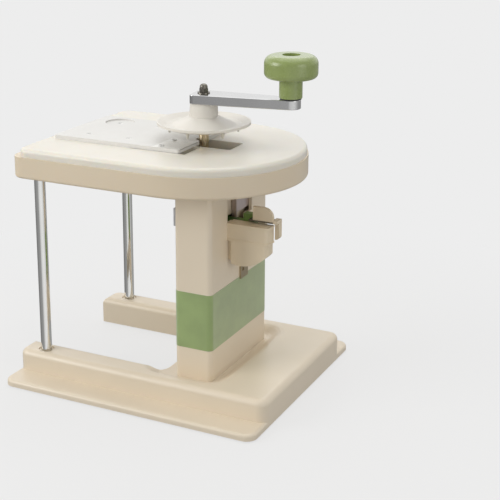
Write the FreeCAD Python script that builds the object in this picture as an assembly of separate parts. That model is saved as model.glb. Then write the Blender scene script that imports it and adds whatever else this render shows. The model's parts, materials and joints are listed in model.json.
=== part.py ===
import FreeCAD, Part
import math
import os

# Rotary cabbage shredder, millimetres, +Z up.
# The origin is on the floor, under the axis of the feed shaft.
# The two posts stand towards -X and the column stands on the +X side of the shaft.

# Fits
seat_gap = 0.10          # between a fixed piece and the hole or pocket that it sits in
running_gap = 0.05       # radial, shaft in bush or pin in bore
rest_gap = 0.3           # between a moving piece and what it rests on
guide_gap = 0.5          # radial, slider in its channel

# Base
foot_height = 1.5
foot_radius = 7.0
foot_inset_x = 14.0      # from the base's end to a foot's centre
foot_inset_y = 12.0
foot_plug_radius = 2.5
foot_plug_height = 4.0
base_end_x = 103.0
base_length = 255.0
base_half_width = 112.5
flange_height = 6.0
flange_corner = 10.0
flange_edge = 3.0
block_half_width = 87.0
block_height = 26.0
block_corner = 9.0
block_edge = 6.0
notch_half_width = 60.5
notch_end_x = -13.0
notch_corner = 17.0
well_depth = 7.5
well_slope = 17.0        # run of the sloping wall around the column's foot
well_margin = 2.0
well_corner = 5.0
well_steps = 6
base_wall = 3.0
bottom_cover_thickness = 2.0
screw_boss_wall = 1.0
blind_end = 1.0          # how far a screw's hole goes on past its tip

# Posts
post_radius = 5.0
post_x = -128.5
post_y = 75.0
post_socket_depth = 12.0
post_boss_wall = 3.5
post_dimple_radius = 7.5
post_dimple_depth = 1.0

# Column
column_depth = 36.5      # along X
column_half_width = 58.0
column_corner = 4.5
column_wall = 3.0
channel_bore = 8.0       # the channel that the shaft's slider runs in
channel_wall = 4.0
bolt_boss_radius = 6.5
bolt_boss_height = 14.0
bolt_inset = 8.5         # from the column's side to a bolt
slot_start_y = -26.0
slot_end_y = 24.5
web_start_x = 26.0       # the wall inside the column, behind the slot
web_thickness = 2.0
web_height = 75.0        # down from the deck
web_hole_half_width = 8.0
web_hole_height = 19.0   # above the foot of the lever's slot
band_bottom = 29.5       # above the column's foot
band_height = 52.5
band_thickness = 1.0
band_proud = 0.3         # the rest of its thickness lies in a groove
strap_half_length = 54.5
strap_height = 16.0
strap_thickness = 2.0
strap_below_deck = 20.0
clip_width = 15.0
clip_height = 10.0
clip_thickness = 1.2
clip_lip = 2.0
clip_y = 6.5
clip_hole_y = 3.5
clip_hole_radius = 1.8
guide_half_width = 38.0
guide_back = 4.0
guide_shelf_half_width = 15.0
guide_shelf_depth = 14.0
bush_wall = 2.0
bush_height = 10.0
bush_below_deck = 18.0
slot_plate_thickness = 1.5
slot_plate_start_y = -1.3
slot_plate_end_y = 34.0
slot_plate_flange = 3.5
slot_plate_rise = 3.0    # above the housing's top
slot_plate_below_deck = 2.0
slot_flange_drop = 5.0   # how far its flange reaches below it

# Deck
deck_underside = 196.7
tray_height = 19.7
tray_radius = 94.5
tray_end_x = -146.5
tray_corner = 12.0
tray_edge = 2.5
cover_height = 7.6
cover_step = 1.2         # how far the cover stands in from the tray's side
cover_end_step = 6.5     # the same at the post end
cover_edge = 3.5
deck_wall = 3.0
tray_end_wall = 9.0      # under the step between the tray and the cover at the post end
duct_wall = 2.0
window_start_x = -8.0
window_end_x = 33.0
window_half_width = 14.0
shaft_hole_gap = 0.6
slit_width = 6.2         # the gap in front of the blade
slit_end_y = -18.0
drop_start_x = -50.0
drop_end_x = -2.0
drop_end_y = -16.0
drop_margin = 0.5
slope_rise = 18.0
slope_overlap = 1.0      # how far the slope's cut starts inside the drop

# Blade plate
plate_length = 130.0
plate_half_width = 46.0
plate_thickness = 3.5
plate_end_x = -1.0
plate_corner = 2.0
shaft_notch_radius = 7.0
blade_width = 27.0       # along X
blade_inner_y = -10.0
blade_margin = 1.0
blade_thickness = 1.0
blade_overhang = 0.6
blade_bevel = 4.0
blade_edge = 0.15
thumb_radius = 14.0
thumb_depth = 1.2
plate_screw_outer_x = -105.0
plate_screw_inner_x = -62.5
plate_screw_y = 27.0
blade_screw_inset = 6.0

# Shaft and holder
shaft_radius = 4.5
shaft_bottom = 42.0
shaft_tip_radius = 2.5   # the upper end that the nut holds
shaft_shoulder = 6.0     # from the hub's top down to the thicker part
slider_height = 12.0
clip_groove_depth = 1.0
clip_groove_inset = 2.0
shaft_clip_thickness = 1.0
shaft_clip_radius = 6.5
shaft_clip_opening = 3.0
holder_radius = 42.5
holder_rise = 12.0       # from the blade plate's top to the holder's underside
holder_thickness = 2.2
holder_rim_height = 5.0
holder_rim_run = 8.0
holder_rim_lip = 1.2
hub_radius = 13.0
hub_taper = 0.6
cone_radius = 29.0
cone_height = 9.5        # above the holder's underside
hub_height = 22.0
pin_circle = 31.0
pin_count = 6
pin_radius = 1.9
pin_tip_radius = 0.8
pin_length = 5.5
pin_stem_radius = 1.2
pin_seat_depth = 1.2

# Crank and knob
crank_angle = 7.0
crank_length = 81.0
arm_thickness = 8.5
arm_tail = 9.5
arm_half_width = 14.0
arm_end_radius = 9.0
arm_corner = 4.0
arm_edge = 0.8
arm_washer_radius = 5.6
arm_washer_thickness = 0.9
dome_nut_radius = 4.2
dome_nut_height = 7.5
dome_nut_hex_height = 3.4
knob_stem_radius = 10.2
knob_stem_height = 17.2
knob_head_radius = 23.6
knob_head_height = 20.5
knob_top_edge = 7.5
knob_under_edge = 5.0
knob_dimple_radius = 8.0
knob_dimple_depth = 2.6
knob_cap_thickness = 1.2
knob_pin_radius = 3.0
knob_pin_head_radius = 5.0
knob_pin_head_height = 2.0
knob_washer_radius = 9.5
knob_washer_thickness = 0.9

# Release lever and its housing
housing_top = 160.5
housing_length = 39.5
housing_wall = 2.5
housing_near_width = 13.0
housing_upper_height = 16.0
housing_lower_height = 37.0
housing_lower_step = 3.5
housing_end_step = 1.0
housing_sweep_height = 11.0   # how far the underside sweeps up to the end
housing_sweep_middle = 1.9    # the same at two thirds of the way
housing_corner = 4.0
housing_bead = 0.5
housing_bead_height = 1.5
housing_rib_setback = 2.5
far_cheek_start_y = 13.0
far_cheek_width = 5.0
far_cheek_length = 19.0
far_cheek_drop = 4.0     # below the housing's top
housing_back_height = 13.0
housing_screw_rise = 8.0
housing_screw_start_y = -6.0
housing_screw_end_y = 7.0
lever_start_y = -10.0
lever_width = 17.0
lever_pivot_x = 46.0
lever_pivot_drop = 9.0   # below the housing's top
lever_pin_radius = 2.0
lever_hub_radius = 5.5
lever_head_start_x = 44.8
lever_head_end_x = 56.0
lever_head_depth = 7.0
lever_head_rise = 6.0    # above the housing's top
lever_bar_height = 10.0
lever_bar_drop = 5.0     # from the pivot's axis to the bar's underside
lever_post_width = 6.5
lever_post_rise = 15.0   # above the housing's top
lever_slot_drop = 18.0   # from the housing's top to the foot of the column's lever slot
slot_drop = 1.0          # from the housing's top to the foot of the wider slot
lever_inner_half_width = 6.0
shoe_thickness = 8.5
shoe_height = 12.0
strip_thickness = 1.5
strip_start_y = -16.5
strip_end_y = -6.0
strip_above_housing = 1.8
strip_end_x = 76.5
strip_hold = 3.0         # how far the strip reaches into the lever's head
tab_start_x = 57.0
tab_length = 19.5
tab_start_y = -16.5
tab_width = 3.0
tab_height = 12.3
tab_corner = 9.0
tab_overlap = 1.0        # between the tab's wall and its end
tab_end_x = 80.5
tab_end_rise = 1.2       # above the strip
hook_drop = 17.0         # from the strip's top down to the hook's tip
hook_side = 1.0          # clear of the housing's near side
hook_corner = 3.0

# Screws and bolts
screw_radius = 1.5
screw_head_radius = 2.8
screw_head_height = 1.6
screw_bite = 5.0         # how far a screw reaches into what it holds
small_head_radius = 2.4
bolt_radius = 2.0
bolt_head_radius = 3.8
bolt_head_height = 2.4
bolt_grip = 7.0          # from a bolt's seat in the base to the column's foot
bolt_bite = 8.0

# Levels and places that follow from the sizes above
base_bottom = foot_height
base_start_x = base_end_x - base_length
flange_top = base_bottom + flange_height
block_top = base_bottom + block_height
column_foot = block_top - well_depth
cover_top = base_bottom + bottom_cover_thickness
bolt_seat = column_foot - bolt_grip
bolt_tip = column_foot + bolt_bite
seam = deck_underside + tray_height
deck_top = seam + cover_height
deck_ceiling = deck_top - deck_wall
deck_floor = deck_underside + deck_wall
plate_top = deck_top + plate_thickness
holder_bottom = plate_top + holder_rise
hub_top = holder_bottom + hub_height
arm_top = hub_top + arm_thickness
washer_top = arm_top + arm_washer_thickness
knob_bottom = arm_top + knob_washer_thickness + rest_gap
knob_top = knob_bottom + knob_stem_height + knob_head_height
knob_cap_bottom = knob_top - knob_dimple_depth - knob_cap_thickness
channel_outer = channel_bore + channel_wall
channel_bottom = shaft_bottom - rest_gap
bush_bottom = deck_underside - bush_below_deck
bush_top = bush_bottom + bush_height
bush_outer = shaft_radius + bush_wall
strap_top = deck_underside - strap_below_deck
strap_bottom = strap_top - strap_height
strap_middle = strap_top - strap_height / 2
channel_top = strap_bottom - rest_gap
strap_screw_y = (channel_outer + strap_half_length) / 2
slot_plate_screw_y = (slot_end_y + slot_plate_end_y) / 2
slot_plate_bottom = housing_top + slot_plate_rise
slot_plate_top = deck_underside - slot_plate_below_deck
slot_plate_screw_levels = (slot_plate_bottom + 2 * screw_head_radius, slot_plate_top - 2 * screw_head_radius)
column_front = column_depth - column_wall
leg_middle_y = (notch_half_width + block_half_width) / 2
blade_start_x = plate_end_x - blade_width
blade_outer_y = -plate_half_width + blade_margin
slit_end_x = plate_end_x + slit_width
slit_start_y = -plate_half_width - drop_margin
slider_bottom = shaft_bottom + clip_groove_inset + shaft_clip_thickness + seat_gap
clip_levels = (shaft_bottom + clip_groove_inset, slider_bottom + slider_height + seat_gap)
housing_end_x = column_depth + housing_length
housing_bottom = housing_top - housing_lower_height
housing_near_y = slot_start_y + housing_near_width
housing_screw_z = housing_bottom + housing_screw_rise
far_cheek_end_x = column_depth + far_cheek_length
far_cheek_top = housing_top - far_cheek_drop
far_cheek_end_y = far_cheek_start_y + far_cheek_width
slot_bottom = housing_top - slot_drop
lever_slot_bottom = housing_top - lever_slot_drop
lever_pivot_z = housing_top - lever_pivot_drop
lever_head_top = housing_top + lever_head_rise
lever_post_top = housing_top + lever_post_rise
lever_end_y = lever_start_y + lever_width
lever_post_x = shaft_radius + rest_gap + shoe_thickness
strip_bottom = housing_top + strip_above_housing
strip_top = strip_bottom + strip_thickness
hook_start_y = housing_near_y + hook_side
band_foot = column_foot + band_bottom
band_top = band_foot + band_height
screw_hole = screw_radius + seat_gap
screw_head_hole = screw_head_radius + seat_gap
bolt_hole = bolt_radius + seat_gap
bolt_head_hole = bolt_head_radius + seat_gap

# Places that repeat
posts = [(post_x, side * post_y) for side in (-1, 1)]
corner_feet = [(x, side * (base_half_width - foot_inset_y))
               for x in (base_start_x + foot_inset_x, base_end_x - foot_inset_x)
               for side in (-1, 1)]
base_screws_at = [(post_x + 4 * post_radius, side * leg_middle_y) for side in (-1, 1)]
base_screws_at += [(base_end_x - 4 * base_wall, side * notch_half_width) for side in (-1, 1)]
column_bolts_at = [(column_depth / 2, side * (column_half_width - bolt_inset)) for side in (-1, 1)]
deck_screw_y = tray_radius - 2 * deck_wall - 2 * screw_head_radius
deck_screws_at = [(x, side * deck_screw_y) for x in (post_x + 4 * post_radius, notch_end_x) for side in (-1, 1)]
plate_screws_at = [(x, side * plate_screw_y) for x in (plate_screw_outer_x, plate_screw_inner_x)
                   for side in (-1, 1)]
blade_screws_at = [(blade_start_x + blade_screw_inset, blade_outer_y + blade_screw_inset),
                   (blade_start_x + blade_screw_inset, blade_inner_y - blade_screw_inset)]
housing_screws_at = (housing_screw_start_y, housing_screw_end_y)
pins_at = [(pin_circle * math.cos(math.radians(30 + 360 / pin_count * turn)),
            pin_circle * math.sin(math.radians(30 + 360 / pin_count * turn)))
           for turn in range(pin_count)]


# Plain shapes


def box(x0, x1, y0, y1, z0, z1):
    return Part.makeBox(x1 - x0, y1 - y0, z1 - z0, FreeCAD.Vector(x0, y0, z0))


def rod(radius, z0, z1, x=0.0, y=0.0):
    return Part.makeCylinder(radius, z1 - z0, FreeCAD.Vector(x, y, z0))


def rod_x(radius, x0, x1, y, z):
    return Part.makeCylinder(radius, x1 - x0, FreeCAD.Vector(x0, y, z), FreeCAD.Vector(1, 0, 0))


def rod_y(radius, y0, y1, x, z):
    return Part.makeCylinder(radius, y1 - y0, FreeCAD.Vector(x, y0, z), FreeCAD.Vector(0, 1, 0))


def upright(size):
    return size.ZLength > 0.5 and size.XLength < 1e-3 and size.YLength < 1e-3


def crosswise(size):
    return size.YLength > 0.5 and size.XLength < 1e-3 and size.ZLength < 1e-3


def at_level(z):
    return lambda size: abs(size.ZMin - z) < 1e-3 and abs(size.ZMax - z) < 1e-3


def round_edges(shape, radius, wanted):
    """Fillet the edges whose bounding box passes the test."""
    return shape.makeFillet(radius, [edge for edge in shape.Edges if wanted(edge.BoundBox)])


def rounded_box(x0, x1, y0, y1, z0, z1, radius):
    return round_edges(box(x0, x1, y0, y1, z0, z1), radius, upright)


def outline_face(points):
    return Part.Face(Part.makePolygon(points + points[:1]))


def turned(profile):
    """Turn a closed outline of (radius, height) points about the Z axis."""
    face = outline_face([FreeCAD.Vector(radius, 0, z) for radius, z in profile])
    return face.revolve(FreeCAD.Vector(0, 0, 0), FreeCAD.Vector(0, 0, 1), 360)


def pushed_y(outline, y0, y1):
    """Push an outline of (x, z) points along Y."""
    return outline_face([FreeCAD.Vector(x, y0, z) for x, z in outline]).extrude(FreeCAD.Vector(0, y1 - y0, 0))


def join(shapes):
    result = shapes[0]
    for shape in shapes[1:]:
        result = result.fuse(shape)
    return result.removeSplitter()


def group(shapes):
    return Part.makeCompound(shapes)


def deck_shape(end_x, half_width, corner, z0, z1):
    """Straight sides, rounded corners at the post end and a half circle about the shaft."""
    def at(x, y):
        return FreeCAD.Vector(x, y, z0)

    bend = corner * (1 - math.cos(math.radians(45)))
    sides = [
        Part.LineSegment(at(end_x + corner, -half_width), at(0, -half_width)),
        Part.Arc(at(0, -half_width), at(half_width, 0), at(0, half_width)),
        Part.LineSegment(at(0, half_width), at(end_x + corner, half_width)),
        Part.Arc(at(end_x + corner, half_width), at(end_x + bend, half_width - bend),
                 at(end_x, half_width - corner)),
        Part.LineSegment(at(end_x, half_width - corner), at(end_x, corner - half_width)),
        Part.Arc(at(end_x, corner - half_width), at(end_x + bend, bend - half_width),
                 at(end_x + corner, -half_width)),
    ]
    wire = Part.Wire([side.toShape() for side in sides])
    return Part.Face(wire).extrude(FreeCAD.Vector(0, 0, z1 - z0))


# Fasteners


def screw_up(x, y, seat, reach, head_radius=screw_head_radius, head_height=screw_head_height,
             radius=screw_radius):
    """Head under the seat, stem up from it."""
    head = rod(head_radius, seat - head_height, seat, x, y)
    return join([head, rod(radius, seat - head_height / 2, seat + reach, x, y)])


def screw_down(x, y, seat, reach, head_radius=screw_head_radius, head_height=screw_head_height,
               radius=screw_radius):
    """Head on the seat, stem down from it."""
    head = rod(head_radius, seat, seat + head_height, x, y)
    return join([head, rod(radius, seat - reach, seat + head_height / 2, x, y)])


def screw_x(y, z, seat, reach, way):
    """Stem along X from the seat; way is 1 towards +X and -1 towards -X."""
    head = sorted((seat - way * screw_head_height, seat))
    stem = sorted((seat - way * screw_head_height / 2, seat + way * reach))
    return join([rod_x(screw_head_radius, head[0], head[1], y, z), rod_x(screw_radius, stem[0], stem[1], y, z)])


def base_bolts():
    return group([screw_up(x, y, bolt_seat, bolt_grip + bolt_bite, bolt_head_radius, bolt_head_height, bolt_radius)
                  for x, y in posts + column_bolts_at])


def tray_bolts():
    return group([screw_down(x, y, deck_floor, deck_wall + bolt_bite, bolt_head_radius, bolt_head_height, bolt_radius)
                  for x, y in posts + column_bolts_at])


# Base


def block_and_notch(inset, z0, z1):
    """The raised block and the notch between its legs, with the walls drawn in by the inset."""
    block = rounded_box(base_start_x + inset, base_end_x - inset, inset - block_half_width,
                        block_half_width - inset, z0, z1, block_corner - min(inset, block_corner / 2))
    notch = rounded_box(base_start_x - base_length, notch_end_x + inset, -notch_half_width - inset,
                        notch_half_width + inset, z0, z1, notch_corner)
    return block, notch


def well_rim(spread, z):
    """The well's rounded outline, widened by the spread."""
    half_width = column_half_width + well_margin + spread
    slab = rounded_box(notch_end_x - well_margin - spread, column_depth + well_margin + spread,
                       -half_width, half_width, z, z + base_wall, well_corner + spread)
    return next(face for face in slab.Faces if at_level(z)(face.BoundBox)).OuterWire


def base_well():
    """The low place around the column's foot, whose sides swing up softly."""
    rims = []
    for step in range(well_steps + 1):
        rise = (1 - math.cos(math.pi * step / well_steps)) / 2
        rims.append(well_rim(well_slope * step / well_steps, column_foot + rise * well_depth))
    return Part.makeLoft(rims, True, True)


def base():
    block, notch = block_and_notch(0, base_bottom, block_top)
    block = round_edges(block.cut(notch), block_edge, at_level(block_top))
    flange = rounded_box(base_start_x, base_end_x, -base_half_width, base_half_width,
                         base_bottom, flange_top, flange_corner)
    flange = round_edges(flange, flange_edge, at_level(flange_top))
    body = flange.cut(notch).fuse(block).cut(base_well())
    ceiling = column_foot - base_wall
    hollow, inner_notch = block_and_notch(base_wall, base_bottom, ceiling)
    body = body.cut(hollow.cut(inner_notch))
    bosses = [rod(post_radius + post_boss_wall, cover_top, ceiling, x, y) for x, y in posts]
    bosses += [rod(bolt_boss_radius, cover_top, ceiling, x, y) for x, y in column_bolts_at]
    bosses += [rod(screw_head_radius + screw_boss_wall, cover_top, ceiling, x, y) for x, y in base_screws_at]
    body = join([body] + bosses)
    for x, y in posts:
        body = body.cut(rod(post_dimple_radius, block_top - post_dimple_depth, block_top, x, y))
        body = body.cut(rod(post_radius + seat_gap, block_top - post_socket_depth, block_top, x, y))
    for x, y in posts + column_bolts_at:
        body = body.cut(rod(bolt_hole, base_bottom, block_top, x, y))
        body = body.cut(rod(bolt_head_hole, base_bottom, bolt_seat, x, y))
    for x, y in base_screws_at:
        body = body.cut(rod(screw_hole, base_bottom, cover_top + screw_bite + blind_end, x, y))
    for x, y in corner_feet:
        body = body.cut(rod(foot_plug_radius + seat_gap, base_bottom, foot_height + foot_plug_height, x, y))
    return body


def bottom_cover():
    plate, notch = block_and_notch(base_wall + seat_gap, base_bottom, cover_top)
    body = plate.cut(notch)
    for x, y in base_screws_at:
        body = body.cut(rod(screw_hole, base_bottom, cover_top, x, y))
        body = body.cut(rod(screw_head_hole, base_bottom, base_bottom + screw_head_height / 2, x, y))
    return body.cut(rod(foot_plug_radius + seat_gap, base_bottom, cover_top))


def rubber_feet():
    pads = [join([rod(foot_radius, 0, foot_height, x, y),
                  rod(foot_plug_radius, foot_height / 2, foot_height + foot_plug_height, x, y)])
            for x, y in corner_feet]
    pads.append(join([rod(foot_radius, 0, foot_height), rod(foot_plug_radius, foot_height / 2, cover_top)]))
    return group(pads)


def base_screws():
    head = screw_head_height / 2
    return group([screw_up(x, y, base_bottom + head, bottom_cover_thickness + screw_bite - head, head_height=head)
                  for x, y in base_screws_at])


def post(side):
    y = side * post_y
    bottom = block_top - post_socket_depth
    body = rod(post_radius, bottom, deck_underside, post_x, y)
    body = body.cut(rod(bolt_hole, bottom, bolt_tip + seat_gap, post_x, y))
    return body.cut(rod(bolt_hole, deck_underside - bolt_bite - seat_gap, deck_underside, post_x, y))


# Column


def column_outline(extra, z0, z1):
    shell = rounded_box(-extra, column_depth + extra, -column_half_width - extra, column_half_width + extra,
                        z0, z1, column_corner + extra)
    return join([shell, rod(channel_outer + extra, z0, z1)])


def band_groove():
    outside = column_outline(band_thickness, band_foot, band_top)
    return outside.cut(column_outline(band_proud - band_thickness, band_foot, band_top))


def column():
    body = column_outline(0, column_foot, deck_underside)
    body = body.cut(rounded_box(column_wall, column_front, column_wall - column_half_width,
                                column_half_width - column_wall, column_foot + column_wall, deck_underside,
                                column_corner - column_wall))
    web = box(web_start_x, web_start_x + web_thickness, column_wall - column_half_width,
              column_half_width - column_wall, deck_underside - web_height, deck_underside)
    web = web.cut(box(web_start_x, web_start_x + web_thickness, -web_hole_half_width, web_hole_half_width,
                      lever_slot_bottom, lever_slot_bottom + web_hole_height))
    bosses = [web, rod(channel_outer, column_foot, channel_top)]
    for x, y in column_bolts_at:
        bosses.append(rod(bolt_boss_radius, column_foot, column_foot + bolt_boss_height, x, y))
        bosses.append(rod(bolt_boss_radius, deck_underside - bolt_boss_height, deck_underside, x, y))
    body = join([body] + bosses).cut(band_groove())
    body = body.cut(rod(channel_bore, channel_bottom, deck_underside))
    body = body.cut(rod(channel_bore, column_foot, channel_bottom - column_wall))
    for x, y in column_bolts_at:
        body = body.cut(rod(bolt_hole, column_foot, bolt_tip + seat_gap, x, y))
        body = body.cut(rod(bolt_hole, deck_underside - bolt_bite - seat_gap, deck_underside, x, y))
    body = body.cut(box(column_front, column_depth, slot_start_y, slot_end_y, slot_bottom, deck_underside))
    body = body.cut(box(column_front, column_depth, housing_near_y, far_cheek_start_y, lever_slot_bottom, slot_bottom))
    for side in (-1, 1):
        body = body.cut(rod_x(screw_hole, 0, column_wall, side * strap_screw_y, strap_middle))
    for y in housing_screws_at:
        body = body.cut(rod_x(screw_hole, column_front, column_depth, y, housing_screw_z))
    for z in slot_plate_screw_levels:
        body = body.cut(rod_x(screw_hole, column_front, column_depth - column_wall / 3, slot_plate_screw_y, z))
    return body


def green_band():
    inner = band_proud - band_thickness + seat_gap
    return column_outline(band_proud, band_foot, band_top).cut(column_outline(inner, band_foot, band_top))


def band_clip():
    y0 = clip_y - clip_width / 2
    y1 = clip_y + clip_width / 2
    face = column_depth + band_proud
    body = join([box(column_depth, face + clip_thickness, y0, y1, band_top, band_top + clip_height),
                 box(face, face + clip_thickness, y0, y1, band_top - clip_lip, band_top)])
    return body.cut(rod_x(clip_hole_radius, column_depth, face + clip_thickness, clip_hole_y,
                          band_top + clip_height - 2 * clip_hole_radius))


def guide_strap():
    reach = 2 * channel_outer
    saddle = rod(channel_outer + strap_thickness, strap_bottom, strap_top)
    saddle = saddle.common(box(-reach, 0, -reach, reach, strap_bottom, strap_top))
    body = join([box(-strap_thickness, 0, -strap_half_length, strap_half_length, strap_bottom, strap_top), saddle])
    body = body.cut(rod(channel_outer + seat_gap, strap_bottom, strap_top))
    for side in (-1, 1):
        body = body.cut(rod_x(screw_hole, -strap_thickness, 0, side * strap_screw_y, strap_middle))
    return body


def strap_screws():
    reach = strap_thickness + column_wall + guide_back - seat_gap
    return group([screw_x(side * strap_screw_y, strap_middle, -strap_thickness, reach, 1) for side in (-1, 1)])


def guide_block():
    """Held inside the column by the strap's screws; its collar carries the shaft's bush."""
    back = box(column_wall, column_wall + guide_back, -guide_half_width, guide_half_width, strap_bottom, bush_top)
    shelf = box(column_wall, column_wall + guide_shelf_depth, -guide_shelf_half_width, guide_shelf_half_width,
                bush_bottom, bush_top)
    body = join([back, shelf, rod(channel_bore - seat_gap, bush_bottom, bush_top)])
    body = body.cut(box(column_wall, column_wall + guide_back, -channel_bore, channel_bore, strap_bottom, bush_bottom))
    body = body.cut(rod(bush_outer + seat_gap, bush_bottom, bush_top))
    for side in (-1, 1):
        body = body.cut(rod_x(screw_hole, column_wall, column_wall + guide_back, side * strap_screw_y, strap_middle))
    return body


def shaft_bush():
    return rod(bush_outer, bush_bottom, bush_top).cut(rod(shaft_radius + running_gap, bush_bottom, bush_top))


def slot_plate():
    """Behind the slot, with a flange that turns back into the column."""
    x0 = column_front - slot_plate_thickness
    body = join([box(x0, column_front, slot_plate_start_y, slot_plate_end_y, slot_plate_bottom, slot_plate_top),
                 box(x0 - slot_plate_flange, column_front, slot_plate_start_y,
                     slot_plate_start_y + slot_plate_thickness, slot_plate_bottom - slot_flange_drop,
                     slot_plate_top)])
    for z in slot_plate_screw_levels:
        body = body.cut(rod_x(screw_hole, x0, column_front, slot_plate_screw_y, z))
    return body


def slot_plate_screws():
    reach = slot_plate_thickness + column_wall * 2 / 3 - seat_gap
    return group([screw_x(slot_plate_screw_y, z, column_front - slot_plate_thickness, reach, 1)
                  for z in slot_plate_screw_levels])


# Deck


def deck_tray():
    body = deck_shape(tray_end_x, tray_radius, tray_corner, deck_underside, seam)
    body = round_edges(body, tray_edge, at_level(deck_underside))
    body = body.cut(deck_shape(tray_end_x + tray_end_wall, tray_radius - deck_wall, tray_corner - deck_wall,
                               deck_floor, seam))
    body = join([body] + [rod(screw_head_radius + deck_wall / 2, deck_underside, seam, x, y)
                          for x, y in deck_screws_at])
    body = body.cut(box(drop_start_x, drop_end_x, slit_start_y, drop_end_y, deck_underside, seam))
    body = body.cut(rod(shaft_radius + shaft_hole_gap, deck_underside, seam))
    for x, y in deck_screws_at:
        body = body.cut(rod(screw_hole, deck_underside, seam, x, y))
        body = body.cut(rod(screw_head_hole, deck_underside, deck_underside + screw_head_height, x, y))
    for x, y in posts + column_bolts_at:
        body = body.cut(rod(bolt_hole, deck_underside, deck_floor, x, y))
    return body


def deck_cover():
    radius = tray_radius - cover_step
    corner = tray_corner - cover_step
    end_x = tray_end_x + cover_end_step
    wall = duct_wall
    body = deck_shape(end_x, radius, corner, seam, deck_top)
    body = round_edges(body, cover_edge, at_level(deck_top))
    body = body.cut(deck_shape(end_x + deck_wall, radius - deck_wall, corner - deck_wall, seam, deck_ceiling))
    # Ducts reach from the openings down to the tray's floor
    window = box(window_start_x - wall, window_end_x + wall, -window_half_width - wall, window_half_width + wall,
                 deck_floor, deck_ceiling)
    chute = box(drop_start_x - wall, slit_end_x + wall, slit_start_y - wall, drop_end_y + wall,
                deck_floor, deck_ceiling)
    bosses = [rod(screw_head_radius + deck_wall / 2, seam, deck_ceiling, x, y) for x, y in deck_screws_at]
    body = join([body, window, chute] + bosses)
    body = body.cut(rounded_box(window_start_x, window_end_x, -window_half_width, window_half_width,
                                deck_floor, deck_top, wall))
    body = body.cut(box(drop_start_x, drop_end_x, slit_start_y, drop_end_y, deck_floor, deck_top))
    # In front of the blade the chute's floor slopes back to the drop
    slope_x = drop_end_x - slope_overlap
    slope = [(slope_x, deck_floor), (drop_end_x, deck_floor), (slit_end_x, deck_floor + slope_rise),
             (slit_end_x, deck_top), (slope_x, deck_top)]
    body = body.cut(pushed_y(slope, slit_start_y, slit_end_y))
    for x, y in deck_screws_at:
        body = body.cut(rod(screw_hole, seam, deck_ceiling, x, y))
    for x, y in plate_screws_at:
        body = body.cut(rod(screw_hole, deck_ceiling, deck_top, x, y))
    return body


def deck_screws():
    seat = deck_underside + screw_head_height
    return group([screw_up(x, y, seat, deck_ceiling - seat - seat_gap) for x, y in deck_screws_at])


# Blade plate


def plate_screw_seat(x, y):
    """The seat lies deeper for the screw in the thumb recess."""
    in_recess = x == plate_screw_outer_x and y > 0
    return plate_top - screw_head_height - (thumb_depth if in_recess else 0.0)


def blade_plate():
    body = rounded_box(plate_end_x - plate_length, plate_end_x, -plate_half_width, plate_half_width,
                       deck_top, plate_top, plate_corner)
    body = body.cut(rod(shaft_notch_radius, deck_top, plate_top))
    body = body.cut(box(blade_start_x, plate_end_x, blade_outer_y, blade_inner_y,
                        plate_top - blade_thickness, plate_top))
    body = body.cut(rod(thumb_radius, plate_top - thumb_depth, plate_top, plate_screw_outer_x, plate_screw_y))
    for x, y in plate_screws_at:
        body = body.cut(rod(screw_hole, deck_top, plate_top, x, y))
        body = body.cut(rod(screw_head_hole, plate_screw_seat(x, y), plate_top, x, y))
    for x, y in blade_screws_at:
        body = body.cut(rod(screw_hole, deck_top, plate_top, x, y))
    return body


def plate_screws():
    return group([screw_down(x, y, plate_screw_seat(x, y), plate_screw_seat(x, y) - deck_ceiling)
                  for x, y in plate_screws_at])


def blade():
    x0 = blade_start_x + seat_gap
    x1 = plate_end_x + blade_overhang
    z0 = plate_top - blade_thickness
    outline = [(x0, z0), (x1 - blade_bevel, z0), (x1, plate_top - blade_edge), (x1, plate_top), (x0, plate_top)]
    body = pushed_y(outline, blade_outer_y + seat_gap, blade_inner_y - seat_gap)
    for x, y in blade_screws_at:
        body = body.cut(rod(screw_hole, z0, plate_top, x, y))
    return body


def blade_screws():
    return group([screw_down(x, y, plate_top, plate_thickness - seat_gap, small_head_radius, screw_head_height / 2)
                  for x, y in blade_screws_at])


# Shaft, slider and holder


def feed_shaft():
    shoulder = hub_top - shaft_shoulder
    body = join([rod(shaft_radius, shaft_bottom, shoulder),
                 rod(shaft_tip_radius, shoulder, washer_top + dome_nut_hex_height)])
    for z in clip_levels:
        ring = rod(shaft_radius, z, z + shaft_clip_thickness)
        body = body.cut(ring.cut(rod(shaft_radius - clip_groove_depth, z, z + shaft_clip_thickness)))
    return body


def shaft_clips():
    clips = []
    for z in clip_levels:
        top = z + shaft_clip_thickness
        clip = rod(shaft_clip_radius, z, top).cut(rod(shaft_radius - clip_groove_depth + seat_gap, z, top))
        clips.append(clip.cut(box(0, shaft_clip_radius, -shaft_clip_opening / 2, shaft_clip_opening / 2, z, top)))
    return group(clips)


def shaft_slider():
    top = slider_bottom + slider_height
    return rod(channel_bore - guide_gap, slider_bottom, top).cut(rod(shaft_radius + running_gap, slider_bottom, top))


def holder_disc():
    flat = holder_radius - holder_rim_run
    z = holder_bottom
    body = turned([
        (0, z), (flat, z), (holder_radius, z + holder_rim_height - holder_thickness),
        (holder_radius, z + holder_rim_height), (holder_radius - holder_rim_lip, z + holder_rim_height),
        (flat, z + holder_thickness), (cone_radius, z + holder_thickness), (hub_radius, z + cone_height),
        (hub_radius - hub_taper, hub_top), (0, hub_top),
    ])
    body = body.cut(rod(shaft_radius + seat_gap, z, hub_top - shaft_shoulder))
    body = body.cut(rod(shaft_tip_radius + seat_gap, z, hub_top))
    for x, y in pins_at:
        body = body.cut(rod(pin_stem_radius + seat_gap, z, z + pin_seat_depth, x, y))
    return body


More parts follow.
